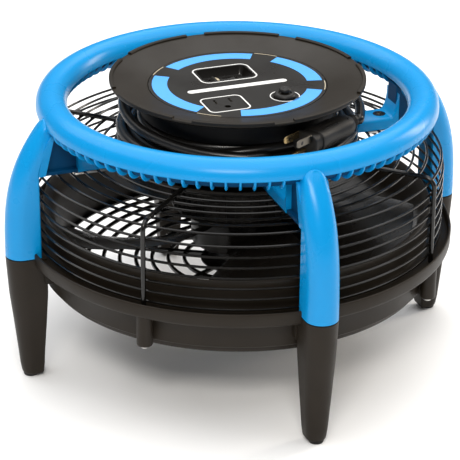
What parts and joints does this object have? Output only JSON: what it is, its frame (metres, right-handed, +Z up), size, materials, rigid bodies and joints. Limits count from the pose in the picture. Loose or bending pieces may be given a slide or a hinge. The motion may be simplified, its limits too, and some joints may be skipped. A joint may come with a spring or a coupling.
{
  "type": "air mover",
  "caption": "Portable round air mover: handle ring on four legs, wire guard over a fan that blows down through a shroud, cord reel with outlet, switch and breaker on top.",
  "frame": {"origin": "on the floor, under the centre of the fan's axis", "axes": "+Z up along the fan's axis, +X to the right of the label with the outlet towards the front, -Y to the front; the legs stand on the X and Y axes"},
  "size_m": [0.4, 0.4, 0.2434],
  "materials": {
    "blue_plastic": "satin",
    "black_plastic": "fine texture",
    "black_rubber": "matte",
    "black_wire": "satin",
    "label_face": "printed film",
    "steel": "plated",
    "motor_casting": "cast",
    "motor_windings": "varnished",
    "brass": "polished",
    "fan_plastic": "moulded",
    "cord_jacket": "semi-gloss"
  },
  "bodies": {
    "frame": {"handle_ring": "blue_plastic", "upper_leg_front": "blue_plastic", "lower_leg_front": "black_plastic", "foot_pad_front": "black_rubber", "arm_screw_front": "steel", "guard_clamp_front": "steel", "upper_leg_right": "blue_plastic", "lower_leg_right": "black_plastic", "foot_pad_right": "black_rubber", "arm_screw_right": "steel", "guard_clamp_right": "steel", "upper_leg_back": "blue_plastic", "lower_leg_back": "black_plastic", "foot_pad_back": "black_rubber", "arm_screw_back": "steel", "guard_clamp_back": "steel", "upper_leg_left": "blue_plastic", "lower_leg_left": "black_plastic", "foot_pad_left": "black_rubber", "arm_screw_left": "steel", "guard_clamp_left": "steel", "shroud": "black_plastic", "guard_screw_1": "steel", "guard_screw_2": "steel", "guard_screw_3": "steel", "guard_screw_4": "steel", "wire_guard": "black_wire", "outlet_guard": "black_wire", "hub_plate": "steel", "motor_housing": "motor_casting", "motor_stator": "motor_windings", "motor_end_bell": "motor_casting", "bearing_lower": "steel", "bearing_upper": "steel", "reel_drum": "black_plastic", "reel_dish": "black_plastic", "label_plate": "label_face", "outlet": "black_plastic", "switch_tray": "black_plastic", "switch_housing": "black_plastic", "breaker_body": "black_plastic", "breaker_nut": "black_plastic", "capacitor": "black_plastic", "cord_gland": "black_rubber", "plug_body": "black_rubber", "plug_blade_1": "brass", "plug_blade_2": "brass", "plug_ground_pin": "brass", "cord_tail": "cord_jacket", "cord_coil": "cord_jacket"},
    "fan": {"fan_rotor": "fan_plastic", "fan_nut": "steel", "motor_rotor": "steel"},
    "rocker": {"switch_rocker": "black_rubber"},
    "button": {"breaker_button": "black_rubber"}
  },
  "joints": [
    {"name": "fan_spin", "type": "hinge", "parent": "frame", "child": "fan", "pos_m": [0, 0, 0.11], "axis": [0, 0, 1], "continuous": true},
    {"name": "power_switch", "type": "hinge", "parent": "frame", "child": "rocker", "pos_m": [-0.002, 0.025, 0.2248], "axis": [0, -1, 0], "range_deg": [0, 16]},
    {"name": "breaker_reset", "type": "slide", "parent": "frame", "child": "button", "axis": [0, 0, -1], "range_m": [0, 0.002], "stiffness_N_per_m": 300, "springref_m": -0.001}
  ]
}
